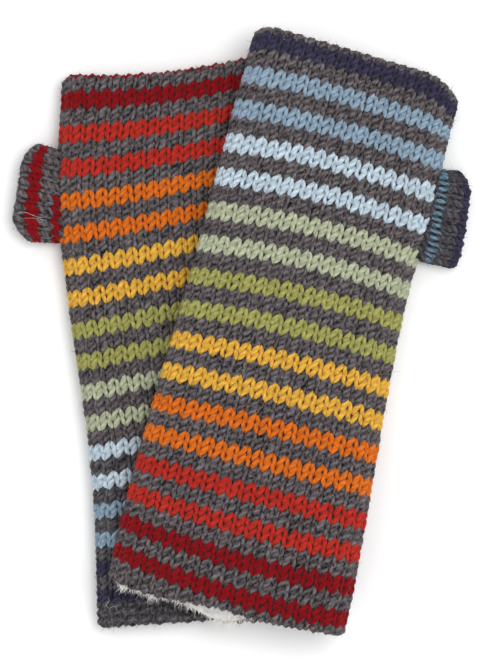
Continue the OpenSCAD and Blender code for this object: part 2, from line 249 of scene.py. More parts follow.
class Hand:
    """The cloth of a glove's hand. Its knitting folds back inside at both ends."""

    fold_radius = 2.2
    pattern_girth = 190.0

    def __init__(self, name, folds=True):
        self.folds = folds
        self.glove = GLOVES[name]
        self.columns = self.glove["columns"]
        self.thumb_share = stripe_middle(self.glove, self.glove["thumb_stripe"]) / LENGTH

    def hemmed(self, place, around, depth):
        """Where the hem's drop, fold or tuck puts a point of the cloth: its place and depth."""
        x, _ = section(half_width(place / LENGTH), HAND_RADIUS, around, depth)
        start = -self.glove["hem_drop"] * smooth(-x / FINGER_HALF)
        if self.folds:
            return folded(place, depth, start, LENGTH, self.fold_radius)
        start = start + self.glove["lining_tuck"] * smooth(x / TUCK_RUN)
        return place + start * (1 - smooth(place / CUFF_RUN)), depth

    def point(self, place, around, depth):
        """Points in space for places, shares of the way round, and depths."""
        glove, thumb_side = self.glove, self.glove["side"]
        place, depth = self.hemmed(place, around, depth)
        x, z = section(half_width(place / LENGTH), HAND_RADIUS, around, depth)
        at_thumb = np.exp(-(((place / LENGTH - self.thumb_share) * LENGTH / BULGE_RUN) ** 2))
        x = x + thumb_side * glove["bulge"] * at_thumb * smooth(thumb_side * x / FINGER_HALF)
        near_fingers = smooth((place - LENGTH + CORNER_RUN) / CORNER_RUN)
        for side, (droop, share) in zip((-1, 1), glove["corners"]):
            corner = np.clip((side * x / half_width(1.0) - share) / (1 - share), 0, 1)
            place = place - droop * corner**2 * near_fingers
        below = smooth(0.5 - z / HAND_RADIUS) * (1 - smooth(place / CUFF_RUN))
        at_middle = np.exp(-(((x - UNDER_MIDDLE) / UNDER_RUN) ** 2))
        place = place - glove["under_reach"] * below * at_middle
        p = row_point(glove, place / LENGTH, x)
        up = HAND_RADIUS + z + lift(glove, p)
        return np.concatenate([p, up[..., None]], axis=-1)


class Thumb:
    """The cloth of a glove's thumb, which runs out from its hand's side edge."""

    fold_radius = 2.0
    pattern_girth = 86.0
    columns = 18
    corner_share = 0.5

    def __init__(self, name, folds=True):
        self.folds = folds
        self.glove = GLOVES[name]
        self.length = THUMB_INSET + self.glove["thumb_reach"]
        side = self.glove["side"]
        share = stripe_middle(self.glove, self.glove["thumb_stripe"]) / LENGTH
        edge = row_point(self.glove, share, side * half_width(share))
        self.out = way(self.glove["thumb_ways"][1] - 90 * side)
        self.root = edge - self.out * THUMB_INSET

    def point(self, place, around, depth):
        """Points in space for places, shares of the way round, and depths."""
        if self.folds:
            place, depth = folded(place, depth, FAR_BELOW, self.length, self.fold_radius)
        side, ways = self.glove["side"], self.glove["thumb_ways"]
        share = place / self.length
        half = THUMB_HALF + THUMB_FLARE * share
        x, z = section(half, THUMB_RADIUS, around, depth)
        share_out = np.clip(share, 0, 1)
        corner = np.clip((np.abs(x) / half - self.corner_share) / (1 - self.corner_share), 0, 1)
        droop = np.where(x * side > 0, *self.glove["thumb_droops"])
        place = place - droop * corner**2 * share_out**2
        line = way(ways[0] + (ways[1] - ways[0]) * share_out)
        across = (x - self.glove["thumb_shift"] * side) * side
        p = self.root + self.out * place[..., None] - line * across[..., None]
        return np.concatenate([p, (THUMB_MIDDLE_Z + z)[..., None]], axis=-1)


# ---------------------------------------------------------------- yarn

# The yarn: its radius, the points round it and along each stitch, its plies with the grooves
# between them (a share of the radius) and their turns per mm, and how far apart the patterns
# of two rows may start (mm).
YARN_RADIUS = 0.85
SIDES = 10
STEPS = 16
PLIES = 2
PLY_GROOVE = 0.09
TWIST_PER_MM = 0.16
PATTERN_SHIFT = 500

# A loop's shape: how many yarn radii it reaches into the rows beside it, its swing to the sides
# as a share of a stitch, how far its turns lie below its legs, its lean, and its pointed ends.
LOOP_OVERLAP = 1.9
LOOP_SWING = 0.235
LOOP_DEPTH = 0.72
LEAN = -0.06
POINTED = 0.2

# One leg of each loop lies in front of the other and is thicker. Its turns are thinner.
LEG_FRONT = 0.24
LEG_THICK = 0.09
TURN_THIN = 0.25

# Unevenness: a whole row's shift (mm), and each stitch's place, share of the way round, depth
# and thickness.
ROW_SHIFT = 0.12
UNEVEN_PLACE = 0.16
UNEVEN_AROUND = 0.035
UNEVEN_DEPTH = 0.10
UNEVEN_THICK = 0.05

# A row's yarn narrows towards each end that is cut off, over so many points.
TAPER_STEPS = 3
TAPER_SHARE = 0.15

# Loose fibres: their half width, where they leave the yarn (a share of its radius), the
# shape and scale of how their lengths vary, and the longest (mm).
FIBRES_PER_STITCH = 56
FIBRE_HALF = 0.04
FIBRE_ROOT = 0.8
FIBRE_LENGTHS = (3.0, 0.42)
FIBRE_LONGEST = 2.8
RIBBON_QUADS = np.array([[0, 1, 3, 2], [2, 3, 5, 4]])

# How far apart in depth two points are taken, to find the way out of the cloth.
NORMAL_STEP = 0.4


class Mesh:
    """Points, quads and the quads' UVs, gathered into one mesh."""

    def __init__(self):
        self.points, self.quads, self.uvs, self.count = [], [], [], 0

    def add(self, points, quads, uvs):
        """Adds points, quads that count from their first point, and each quad's four UVs."""
        self.points.append(points.reshape(-1, 3))
        self.quads.append(quads.reshape(-1, 4) + self.count)
        self.uvs.append(uvs.reshape(-1, 2))
        self.count += len(self.points[-1])

    def add_grid(self, points, uv, closed_u=False, closed_v=False, hole=None):
        """A grid of points, joined along both of its ways, apart from the quads in hole."""
        n, m = points.shape[:2]
        i = np.arange(n if closed_u else n - 1)[:, None]
        j = np.arange(m if closed_v else m - 1)[None, :]
        i2, j2 = (i + 1) % n, (j + 1) % m
        quads = np.stack([i * m + j, i2 * m + j, i2 * m + j2, i * m + j2], axis=-1)
        iu, ju = i + 1, j + 1
        corners = np.stack([uv(i, j), uv(iu, j), uv(iu, ju), uv(i, ju)], axis=-2)
        if hole is not None:
            quads, corners = quads[~hole], corners[~hole]
        self.add(points, quads, corners)

    def build(self, name, material):
        """Makes the Blender object, in metres, with nothing below the floor."""
        points = np.concatenate(self.points) * MM
        points[:, 2] = np.maximum(points[:, 2], 0.0)
        quads = np.concatenate(self.quads)
        mesh = bpy.data.meshes.new(name)
        mesh.vertices.add(len(points))
        mesh.vertices.foreach_set("co", points.astype(np.float32).ravel())
        mesh.loops.add(quads.size)
        mesh.loops.foreach_set("vertex_index", quads.astype(np.int32).ravel())
        mesh.polygons.add(len(quads))
        mesh.polygons.foreach_set("loop_start", np.arange(0, quads.size, 4, dtype=np.int32))
        mesh.polygons.foreach_set("use_smooth", np.ones(len(quads), bool))
        layer = mesh.uv_layers.new(name="yarn")
        layer.data.foreach_set("uv", np.concatenate(self.uvs).astype(np.float32).ravel())
        mesh.update(calc_edges=True)
        mesh.validate()
        mesh.materials.append(material)
        obj = bpy.data.objects.new(name, mesh)
        bpy.context.scene.collection.objects.link(obj)
        return obj


def unit(v):
    """Vectors of length 1."""
    return v / np.maximum(np.linalg.norm(v, axis=-1, keepdims=True), 1e-9)


def wander(columns, t, size):
    """Small uneven shifts, one for each stitch, that run smoothly into each other."""
    values = rng.normal(0, size, columns)
    at = t / (2 * np.pi)
    low = np.floor(at).astype(int)
    share = smooth(at - low)
    return values[low % columns] * (1 - share) + values[(low + 1) % columns] * share


def surface_way(cloth, place, around, depth, line, step=NORMAL_STEP):
    """The ways out of the cloth at a line's points."""
    return unit(cloth.point(place, around, depth - step) - line)


def yarn_tube(mesh, line, normal, radius, closed):
    """A tube of yarn along a line of points, with its UVs in mm along and turns around."""
    if closed:
        ahead, behind = np.roll(line, -1, axis=0), np.roll(line, 1, axis=0)
    else:
        ahead = np.concatenate([line[1:], line[-1:]])
        behind = np.concatenate([line[:1], line[:-1]])
    tangent = unit(ahead - behind)
    across = unit(np.cross(tangent, normal))
    up = np.cross(across, tangent)
    steps = np.linalg.norm(ahead - line, axis=1)
    along = np.concatenate([[0], np.cumsum(steps)]) + rng.uniform(0, PATTERN_SHIFT)
    turn = 2 * np.pi * np.arange(SIDES) / SIDES
    spoke = (
        across[:, None] * np.cos(turn)[None, :, None]
        + up[:, None] * np.sin(turn)[None, :, None]
    )
    groove = np.cos(PLIES * (turn[None, :] + 2 * np.pi * TWIST_PER_MM * along[: len(line), None]))
    reach = radius[:, None] * (1 + PLY_GROOVE * groove)
    points = line[:, None] + spoke * reach[..., None]

    def uv(i, j):
        i, j = np.broadcast_arrays(i, j)
        return np.stack([along[i], j / SIDES], axis=-1)

    mesh.add_grid(points, uv, closed_u=closed, closed_v=True)
    return line, tangent, up, across


def runs_of(keep):
    """The runs of kept stitches round a ring, as (first, count)."""
    n = len(keep)
    if keep.all():
        return [(0, n)]
    found, start = [], int(np.argmin(keep))
    i = 0
    while i < n:
        first = (start + i) % n
        if keep[first]:
            count = 0
            while count < n and keep[(first + count) % n]:
                count += 1
            found.append((first, count))
            i += count
        else:
            i += 1
    return found


def stitch_row(
    mesh, cloth, place, pitch, keep=None, purl=False, radius=YARN_RADIUS, swings=LOOP_SWING, sink=0
):
    """One row of loops round a tube of cloth. keep marks the stitches that are there."""
    n = cloth.columns
    keep = np.ones(n, bool) if keep is None else keep
    reach = (pitch + LOOP_OVERLAP * radius) / 2
    shift = rng.uniform(-ROW_SHIFT, ROW_SHIFT)
    for first, count in runs_of(keep):
        closed = count == n
        t = 2 * np.pi * np.arange(first * STEPS, (first + count) * STEPS + (not closed)) / STEPS
        rise = POINTED * np.cos(3 * t) - np.cos(t)
        at = place + reach * rise + wander(n, t, UNEVEN_PLACE) + shift
        swing = swings * np.sin(2 * t) + LEAN * rise
        around = (t / (2 * np.pi) + swing + wander(n, t, UNEVEN_AROUND)) / n
        fore = np.cos(2 * t) * (-1 if purl else 1)
        leg = -LEG_FRONT * np.sin(t)
        depth = radius + sink + LOOP_DEPTH * (1 + fore) + leg + wander(n, t, UNEVEN_DEPTH)
        line = cloth.point(at, around, depth)
        normal = surface_way(cloth, at, around, depth, line)
        legs = LEG_THICK * np.sin(t) + wander(n, t, UNEVEN_THICK)
        thick = radius * (1 - TURN_THIN * np.cos(2 * t) + legs)
        if not closed:
            from_end = np.minimum(np.arange(len(t)), np.arange(len(t))[::-1])
            thick = thick * np.clip(from_end / TAPER_STEPS, TAPER_SHARE, 1)
        tube = yarn_tube(mesh, line, normal, thick, closed)
        add_fibres(mesh, *tube, radius, count * FIBRES_PER_STITCH)


def ribbon_width(lean, half):
    """A half width for each thin ribbon, across the way that it leans, at random round it."""
    return unit(np.cross(lean, rng.normal(0, 1, lean.shape))) * half


def add_ribbons(mesh, root, middle, tip, width, narrow, u, v):
    """Fibres as ribbons of two quads, which narrow to a share of their width. Each has one UV."""
    edges = ((root, width), (middle, width), (tip, width * narrow))
    points = np.stack([np.stack([p - w, p + w], axis=1) for p, w in edges], axis=1)
    count = len(root)
    uvs = np.empty((count, 2, 4, 2))
    uvs[..., 0], uvs[..., 1] = u, v
    mesh.add(points, 6 * np.arange(count)[:, None, None] + RIBBON_QUADS, uvs)


def add_fibres(mesh, line, tangent, up, across, radius, count):
    """Loose wool fibres that stand off a run of yarn, mostly on its outer side."""
    i = rng.integers(0, len(line), count)
    angle = rng.uniform(-0.3, math.pi + 0.3, count)[:, None]
    out = across[i] * np.cos(angle) + up[i] * np.sin(angle)
    root = line[i] + out * radius * FIBRE_ROOT
    lean = unit(
        out * rng.uniform(0.25, 1.0, (count, 1))
        + tangent[i] * rng.normal(0, 0.9, (count, 1))
        + rng.normal(0, 0.35, (count, 3))
    )
    length = np.minimum(rng.gamma(*FIBRE_LENGTHS, (count, 1)), FIBRE_LONGEST)
    bend = rng.normal(0, 0.35, (count, 3))
    middle = root + lean * length * 0.5 + bend * length * 0.2
    tip = root + lean * length + bend * length * 0.6 - out * length * 0.15
    width = ribbon_width(lean, FIBRE_HALF)
    u = rng.uniform(0, PATTERN_SHIFT, (count, 1, 1))
    add_ribbons(mesh, root, middle, tip, width, 0.3, u, 0.5)


# ---------------------------------------------------------------- rows

# Rows before the first stripe: garter ridges on the lower glove, plain on the upper one.
GARTER_ROWS = 8
GARTER_PITCH = 1.95
GARTER_START = 2.0
PLAIN_CUFF_ROWS = 4

# The last rows at the finger end: how many pitches past the last stripe, and their colour.
FINGER_ROWS = {
    "lower": [(1.0, "grey"), (1.95, "grey"), (2.75, "crimson")],
    "upper": [(1.0, "grey"), (1.9, "grey")],
}

# The rows of each thumb, from its root out: their place, pitch and colour.
THUMB_ROWS = {
    "lower": [
        (1.4, 2.8, "grey"),
        (4.6, 2.8, "crimson"),
        (7.4, 2.6, "grey"),
        (9.9, 2.6, "grey"),
        (12.5, 2.6, "crimson"),
        (15.1, 2.6, "crimson"),
        (17.7, 2.6, "grey"),
        (20.3, 2.6, "grey"),
        (22.9, 2.6, "grey"),
    ],
    "upper": [
        (1.4, 2.8, "grey"),
        (5.4, 2.9, "grey"),
        (7.4, 4.4, "blue"),
        (9.2, 2.6, "grey"),
        (11.8, 2.6, "grey"),
        (14.4, 2.6, "grey"),
        (17.0, 2.5, "navy"),
        (19.4, 2.4, "navy"),
    ],
}

# The part of a thumb near its root, which is made as pieces of its own, and the opening's size in
# the hand's edge.
JOIN_END = 7.0
JOIN_ROWS_END = 8.0
OPENING_LEVEL = 4.5
OPENING_INSET = 3.0
OPENING_MARGIN = 1.0
OPENING_REACH = 2.0


def row_place(glove, row):
    """How far a row lies from the cuff, counted from the first stripe's first row."""
    return float(stripe_middle(glove, (row - COLOURED_ROWS / 2 + 0.5) / ROWS_PER_STRIPE))


def hand_rows(name):
    """Every row of a hand from its cuff to its finger end: place, pitch, colour, purl."""
    glove = GLOVES[name]
    rows = []
    for row in range(ROWS_PER_STRIPE * (STRIPES - 1) + COLOURED_ROWS):
        k, part = divmod(row, ROWS_PER_STRIPE)
        at = row_place(glove, row)
        pitch = row_place(glove, row + 1) - at
        colour = COLOURS[glove["colours"][k]] if part < COLOURED_ROWS else "grey"
        rows.append((at, pitch, colour, False))
    first_at, first_pitch = rows[0][:2]
    last_at, last_pitch = rows[-1][:2]
    if name == "lower":
        start = first_at - GARTER_START
        ridges = [
            (start - GARTER_PITCH * k, GARTER_PITCH, "grey", k % 2 == 1)
            for k in range(GARTER_ROWS)
        ]
    else:
        ridges = [
            (first_at - first_pitch * (k + 1), first_pitch, "grey", False)
            for k in range(PLAIN_CUFF_ROWS)
        ]
    ends = [(last_at + k * last_pitch, last_pitch, c, False) for k, c in FINGER_ROWS[name]]
    return rows + ridges + ends


def thumb_hole(name, place):
    """Which of a hand's stitches are there: those clear of the thumb's opening."""
    hand, thumb = Hand(name), Thumb(name)
    n = hand.columns
    middle = (np.arange(n) + 0.5) / n
    x, z = section(np.float64(FINGER_HALF), HAND_RADIUS, middle, 0.0)
    p = hand.point(np.full(n, place), middle, np.zeros(n))[:, :2]
    along = (p - thumb.root) @ way(thumb.glove["thumb_ways"][0])
    on_side = x * thumb.glove["side"] > FINGER_HALF - HAND_RADIUS + OPENING_INSET
    across = np.abs(along) < THUMB_HALF - OPENING_MARGIN
    return ~(on_side & (z < OPENING_LEVEL) & across)


# ---------------------------------------------------------------- materials


def srgb(r, g, b):
    """A colour given as 0-255 display values, as linear light."""
    c = np.array([r, g, b], float) / 255
    return [*np.where(c <= 0.04045, c / 12.92, ((c + 0.055) / 1.055) ** 2.4).tolist(), 1.0]


def add_node(tree, kind, **values):
    """A node, with values set on its inputs or, where it has no such input, on the node."""
    node = tree.nodes.new(kind)
    for key, value in values.items():
        if key in node.inputs.keys():
            node.inputs[key].default_value = value
        else:
            setattr(node, key, value)
    return node


def mapped(tree, source, scale):
    """A place on the yarn, scaled along it, round it and through it."""
    node = add_node(tree, "ShaderNodeMapping")
    node.inputs["Scale"].default_value = scale
    tree.links.new(source, node.inputs["Vector"])
    return node.outputs["Vector"]


def ramp(tree, factor, stops):
    """The colour that a list of (place, colour) stops gives for a factor."""
    node = add_node(tree, "ShaderNodeValToRGB")
    elements = node.color_ramp.elements
    while len(elements) < len(stops):
        elements.new(0.5)
    for element, (at, colour) in zip(elements, stops):
        element.position = at
        element.color = colour
    tree.links.new(factor, node.inputs["Fac"])
    return node.outputs["Color"]


def shade(colour, k):
    """A colour made k times as bright."""
    return [min(1.0, c * k) for c in colour[:3]] + [1.0]


def math_node(tree, operation, *values):
    """A maths node on values that are numbers or other nodes' outputs."""
    node = add_node(tree, "ShaderNodeMath", operation=operation)
    for socket, value in zip(node.inputs, values):
        if isinstance(value, (int, float)):
            socket.default_value = value
        else:
            tree.links.new(value, socket)
    return node.outputs[0]


def noise(tree, uv, scale):
    """Noise at a scale along the yarn and round it."""
    node = add_node(tree, "ShaderNodeTexNoise", Scale=1.0, Detail=3.0, Roughness=0.6)
    tree.links.new(mapped(tree, uv, scale), node.inputs["Vector"])
    return node.outputs["Fac"]


def ply_wave(tree, uv):
    """A wave that runs round the yarn with its plies."""
    split = add_node(tree, "ShaderNodeSeparateXYZ")
    tree.links.new(uv, split.inputs["Vector"])
    turns = math_node(tree, "MULTIPLY_ADD", split.outputs["X"], TWIST_PER_MM, split.outputs["Y"])
    return math_node(tree, "COSINE", math_node(tree, "MULTIPLY", turns, 2 * math.pi * PLIES))


# The wool's noise, per mm along the yarn and per turn round it, and the shares of its colour
# that come from the dye's patches, the fibres and the plies; the plies' share is painted shade,
# darker in the grooves between them.
PATCH_SCALE = (0.16, 1.0, 1.0)
FIBRE_SCALE = (0.9, 4.5, 1.0)
PATCH_TONE = 0.4
FIBRE_TONE = 0.45
PLY_SHADE_TONE = 0.06
HEATHER_REACH = 1.6
FIBRE_HEIGHT = 1.4
BUMP_DEPTH = 0.16 * MM


def wool(name, colour, heather=0.25):
    """Spun wool: uneven dye along the yarn, fine fibres, and the twist of its plies."""
    material = bpy.data.materials.new(name)
    material.use_nodes = True
    tree = material.node_tree
    tree.nodes.clear()
    out = add_node(tree, "ShaderNodeOutputMaterial")
    shader = add_node(tree, "ShaderNodeBsdfPrincipled", Roughness=0.95)
    shader.inputs["Sheen Weight"].default_value = 0.06
    shader.inputs["Sheen Roughness"].default_value = 0.6
    shader.inputs["Specular IOR Level"].default_value = 0.08
    tree.links.new(shader.outputs["BSDF"], out.inputs["Surface"])
    uv = add_node(tree, "ShaderNodeUVMap", uv_map="yarn").outputs["UV"]

    patches = noise(tree, uv, PATCH_SCALE)
    fibres = noise(tree, uv, FIBRE_SCALE)
    plies = ply_wave(tree, uv)
    tone = math_node(tree, "MULTIPLY", patches, PATCH_TONE)
    tone = math_node(tree, "MULTIPLY_ADD", fibres, FIBRE_TONE, tone)
    # Painted shade: darker in the grooves between the plies, lighter on their crests.
    tone = math_node(tree, "MULTIPLY_ADD", plies, PLY_SHADE_TONE, tone)
    stops = [
        (0.28, shade(colour, 1 - HEATHER_REACH * heather)),
        (0.43, colour),
        (0.58, shade(colour, 1 + HEATHER_REACH * heather)),
    ]
    tree.links.new(ramp(tree, tone, stops), shader.inputs["Base Color"])

    height = math_node(tree, "MULTIPLY_ADD", fibres, FIBRE_HEIGHT, plies)
    bump = add_node(tree, "ShaderNodeBump", Strength=0.6, Distance=BUMP_DEPTH)
    tree.links.new(height, bump.inputs["Height"])
    tree.links.new(bump.outputs["Normal"], shader.inputs["Normal"])
    return material


YARN_COLOURS = {
    "grey": srgb(84, 78, 80),
    "crimson": srgb(120, 2, 11),
    "red": srgb(164, 37, 26),
    "orange": srgb(195, 98, 22),
    "yellow": srgb(203, 156, 58),
    "lime": srgb(145, 144, 81),
    "sage": srgb(161, 166, 140),
    "pale_blue": srgb(173, 188, 198),
    "blue": srgb(127, 147, 164),
    "navy": srgb(48, 45, 66),
}

# How uneven a yarn's dye is.
HEATHER = {"grey": 0.62, "navy": 0.4}
PLAIN_HEATHER = 0.2

MATERIALS = {
    name: wool(f"{name}_wool", colour, HEATHER.get(name, PLAIN_HEATHER))
    for name, colour in YARN_COLOURS.items()
}
MATERIALS["teal"] = wool("teal_wool", srgb(92, 120, 138), heather=0.35)
# Darker copies of the grey yarn, as painted shade: on the lower glove's first grey section and on
# the upper thumb.
MATERIALS["cuff_grey_painted_shade"] = wool("cuff_grey_wool", srgb(74, 71, 74), heather=0.6)
MATERIALS["dark_grey_painted_shade"] = wool("dark_grey_wool", srgb(68, 66, 70), heather=0.5)
# The sheet behind the loops: a grey darker than the yarn, painted shade in the gaps between the
# loops.
MATERIALS["back"] = wool("back_wool_painted_shade", srgb(72, 68, 71))
MATERIALS["fleece"] = wool("fleece_pile", srgb(236, 234, 230), heather=0.05)
MATERIALS["thread"] = wool("sewing_thread", srgb(138, 134, 138), heather=0.1)

# ---------------------------------------------------------------- the knitting

# The long grey yarn is shown in sections. A sheet behind the loops closes the gaps in them; its
# darker grey is painted shade in those gaps.
GREY_SECTIONS = 3
BACK_DEPTH = 2.1
BACK_COLUMNS = 88
BACK_STEP = 3.0
HEM = 2.0
THUMB_BACK_COLUMNS = 40

# Yarns that look unlike the rest of their colour: darker greys that are painted shade, on the
# lower glove's first grey section and on the upper thumb, and teal for the upper thumb's blue
# rows. Also the loops picked up at the upper thumb.
HAND_LOOKS = {("lower", "grey_1"): "cuff_grey_painted_shade"}
THUMB_LOOKS = {("upper", "blue"): "teal", ("upper", "grey"): "dark_grey_painted_shade"}
PICKED_UP = {"radius": 0.6, "swings": 0.06, "sink": -0.35}


def attach(piece, body, node):
    """Makes a piece ride on a body and stand for a CAD node, which it hides."""
    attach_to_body(piece, body)
    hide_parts(node)
    return piece


def knit_hand(name):
    """The yarn of one hand, a piece for each colour and three for the long grey yarn."""
    hand = Hand(name)
    meshes = {}
    for at, pitch, colour, purl in hand_rows(name):
        key = colour
        if colour == "grey":
            part = int(np.clip(GREY_SECTIONS * at / LENGTH, 0, GREY_SECTIONS - 1))
            key = f"grey_{part + 1}"
        mesh = meshes.setdefault(key, Mesh())
        stitch_row(mesh, hand, at, pitch, thumb_hole(name, at), purl)
    pieces = []
    for key, mesh in meshes.items():
        colour = "grey" if key.startswith("grey") else key
        look = HAND_LOOKS.get((name, key), colour)
        piece = mesh.build(f"{name}_{key}_loops", MATERIALS[look])
        attach(piece, f"{name}_glove", f"{name}_{colour}_yarn")
        pieces.append(piece)
    return pieces


def tube_surface(mesh, cloth, profile, columns, hole=None, rough=0.0):
    """A sheet round a tube of cloth. profile lists its (place, depth) from end to end."""
    profile = np.array(profile, float)
    around = np.arange(columns) / columns
    place = np.broadcast_to(profile[:, :1], (len(profile), columns))
    depth = profile[:, 1:] + rng.normal(0, 1, (len(profile), columns)) * rough
    points = cloth.point(place, np.broadcast_to(around, place.shape), depth)
    lengths = np.concatenate([[0], np.cumsum(np.linalg.norm(np.diff(profile, axis=0), axis=1))])

    def uv(i, j):
        i, j = np.broadcast_arrays(i, j)
        return np.stack([lengths[i], j * cloth.pattern_girth / columns], axis=-1)

    mesh.add_grid(points, uv, closed_v=True, hole=None if hole is None else hole(points[:-1]))


def opening_mask(name, margin):
    """Says which points of a hand lie in its thumb opening or within a margin of it."""
    thumb = Thumb(name)
    root_way = way(thumb.glove["thumb_ways"][0])

    def inside(p):
        along = (p[..., :2] - thumb.root) @ root_way
        out = (p[..., :2] - thumb.root) @ thumb.out
        at_edge = (out > -OPENING_REACH) & (p[..., 2] - HAND_RADIUS < OPENING_LEVEL)
        return at_edge & (np.abs(along) < THUMB_HALF + margin)

    return inside


def knit_back_painted_shade(name):
    """The inside of the knitting, where the strands of the resting colours run, in a darker grey
    that is painted shade in the gaps between the loops.
    """
    mesh = Mesh()
    profile = [(at, BACK_DEPTH) for at in np.arange(HEM, LENGTH - HEM, BACK_STEP)]
    hole = opening_mask(name, 0.0)
    tube_surface(mesh, Hand(name), profile, BACK_COLUMNS, hole, rough=0.08)
    piece = mesh.build(f"{name}_knit_back_painted_shade", MATERIALS["back"])
    return attach(piece, f"{name}_glove", f"{name}_grey_yarn")


# The hand's lining: how deep it lies, half its thickness, the points round it, and where it
# starts and ends. Its pile is denser in the bands at both ends, which can be seen.
LINING_DEPTH = 5.0
LINING_HALF = 0.9
LINING_COLUMNS = 150
LINING_STEP = 3.0
LINING_TURN = 6.0
LINING_END_GAP = 4.0
FINGER_INSET = 3.2
PEEK = {"lower": -2.4, "upper": -0.6}
PILE_BAND = 16.0
CUFF_PILE = 5200
FINGER_PILE = 4200
MIDDLE_PILE = 9000
PILE_HALF = 0.09
HAND_PILE_LENGTH = 1.5
THUMB_PILE_LENGTH = 1.1
FRINGE_HALF = 0.08
FRINGE_FIBRES = 1100
FLEECE_PATTERN_SHIFT = 50


def lip(start, out, depth, half):
    """The places and depths of a lining's edge, which is turned back outside and is round."""
    middle = depth - half
    turn = np.linspace(0, np.pi, 7)
    round_edge = [(out + half - half * math.sin(a), middle - half * math.cos(a)) for a in turn]
    return [(start, middle - half), *round_edge]


def add_pile(mesh, cloth, places, count, depth, length, hole=None):
    """Fleece fibres that stand on a lining's face, between two places."""
    place = rng.uniform(places[0], places[1], count)
    around = rng.uniform(0, 1, count)
    at = np.full(count, depth)
    root = cloth.point(place, around, at)
    inward = surface_way(cloth, place, around, at, root, -0.5)
    if hole is not None:
        keep = ~hole(root)
        root, inward, count = root[keep], inward[keep], int(keep.sum())
    lean = unit(inward + rng.normal(0, 0.6, (count, 3)))
    grow = length * rng.uniform(0.5, 1.3, (count, 1))
    curl = rng.normal(0, 0.35, (count, 3)) * grow
    middle = root + lean * grow * 0.55 + curl * 0.3
    add_fluff(mesh, root, middle, root + lean * grow + curl, lean, PILE_HALF)


def add_fluff(mesh, root, middle, tip, lean, half):
    """Fleece fibres, each with one place in the fleece's pattern."""
    width = ribbon_width(lean, half)
    spot = rng.uniform(0, FLEECE_PATTERN_SHIFT, (len(root), 1, 1))
    add_ribbons(mesh, root, middle, tip, width, 0.2, spot, spot)


def line_hand(name):
    """The fleece lining of a hand, with its pile, turned round an edge at both ends."""
    mesh, hand = Mesh(), Hand(name, folds=False)
    low, high = -PEEK[name], LENGTH - FINGER_INSET
    places = np.arange(low + LINING_END_GAP, high - LINING_END_GAP, LINING_STEP)
    middle = [(at, LINING_DEPTH) for at in places]
    finger_lip = lip(LINING_TURN, FINGER_INSET, LINING_DEPTH, LINING_HALF)
    finger_edge = [(LENGTH - at, depth) for at, depth in reversed(finger_lip)]
    profile = lip(LINING_TURN, low, LINING_DEPTH, LINING_HALF) + middle + finger_edge
    hole = opening_mask(name, -OPENING_MARGIN)
    tube_surface(mesh, hand, profile, LINING_COLUMNS, hole, rough=0.22)
    piece = mesh.build(f"{name}_fleece_lining", MATERIALS["fleece"])
    attach(piece, f"{name}_glove", f"{name}_hand_lining")
    pile = Mesh()
    bands = [
        (low, PILE_BAND, CUFF_PILE),
        (LENGTH - PILE_BAND, high, FINGER_PILE),
        (PILE_BAND, LENGTH - PILE_BAND, MIDDLE_PILE),
    ]
    for start, end, count in bands:
        add_pile(pile, hand, (start, end), count, LINING_DEPTH, HAND_PILE_LENGTH, hole)
    if name == "upper":
        for k in range(3):
            add_fringe(pile, hand, low, LINING_DEPTH - k * LINING_HALF, FRINGE_FIBRES)
    fluff = pile.build(f"{name}_fleece_pile", MATERIALS["fleece"])
    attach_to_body(fluff, f"{name}_glove")
    return piece


def add_fringe(mesh, cloth, edge, depth, count):
    """Tufts of fleece that stand out past the lining's edge at a cuff."""
    around = rng.uniform(0, 1, count)
    at = np.full(count, edge) + rng.uniform(0, 0.8, count)
    root = cloth.point(at, around, np.full(count, depth))
    outward = unit(cloth.point(at - 0.5, around, np.full(count, depth)) - root)
    tuft = 0.6 + 0.6 * np.sin(around * 61) * np.sin(around * 23 + 1)
    grow = (0.8 + 2.4 * np.clip(tuft, 0, 1.2)[:, None]) * rng.uniform(0.4, 1.2, (count, 1))
    lean = unit(outward + rng.normal(0, 0.3, (count, 3)))
    curl = rng.normal(0, 0.3, (count, 3)) * grow
    middle = root + lean * grow * 0.5 + curl * 0.3
    add_fluff(mesh, root, middle, root + lean * grow + curl, lean, FRINGE_HALF)


# The sewing thread, how far from its ends a tube is sewn, and how the thread winds there.
THREAD_RADIUS = 0.28
THREAD_STEPS = 12
THREAD_UNEVEN = 0.3
CUFF_STITCHES = 2.4
END_STITCHES = 2.2
HAND_WHIP = {"depth": 3.4, "turns": 70, "radius": 0.9}
THUMB_WHIP = {"depth": 3.2, "turns": 34, "radius": 0.7}


def whip_stitches(name, cloth, place, depth, turns, radius):
    """Sewing thread that winds round an edge all the way round a tube."""
    count = turns * THREAD_STEPS
    share = np.arange(count) / count
    t = 2 * np.pi * share * turns
    coil = t + wander(turns, t, THREAD_UNEVEN)
    at = place + radius * np.cos(coil)
    level = depth - radius * np.sin(coil)
    line = cloth.point(at, share, level)
    normal = surface_way(cloth, at, share, level, line)
    mesh = Mesh()
    yarn_tube(mesh, line, normal, np.full(count, THREAD_RADIUS), True)
    return mesh.build(name, MATERIALS["thread"])


def stitch_hand(name):
    """The whip stitching that holds a hand's lining to the knitting at both ends."""
    hand = Hand(name)
    for end, place in (("cuff", CUFF_STITCHES), ("finger", LENGTH - END_STITCHES)):
        piece = whip_stitches(f"{name}_{end}_stitches", hand, place, **HAND_WHIP)
        attach(piece, f"{name}_glove", f"{name}_{end}_stitching")


# The thumb's lining: how deep it lies, half its thickness, where it starts at the root, and its
# turned edge at the end (mm).
THUMB_LINING_DEPTH = 4.5
THUMB_LINING_HALF = 0.6
THUMB_LINING_ROOT = 3.5
THUMB_LINING_INSET = 2.4
THUMB_LINING_TURN = 4.0
THUMB_LINING_COLUMNS = 60
THUMB_PILE = 2600


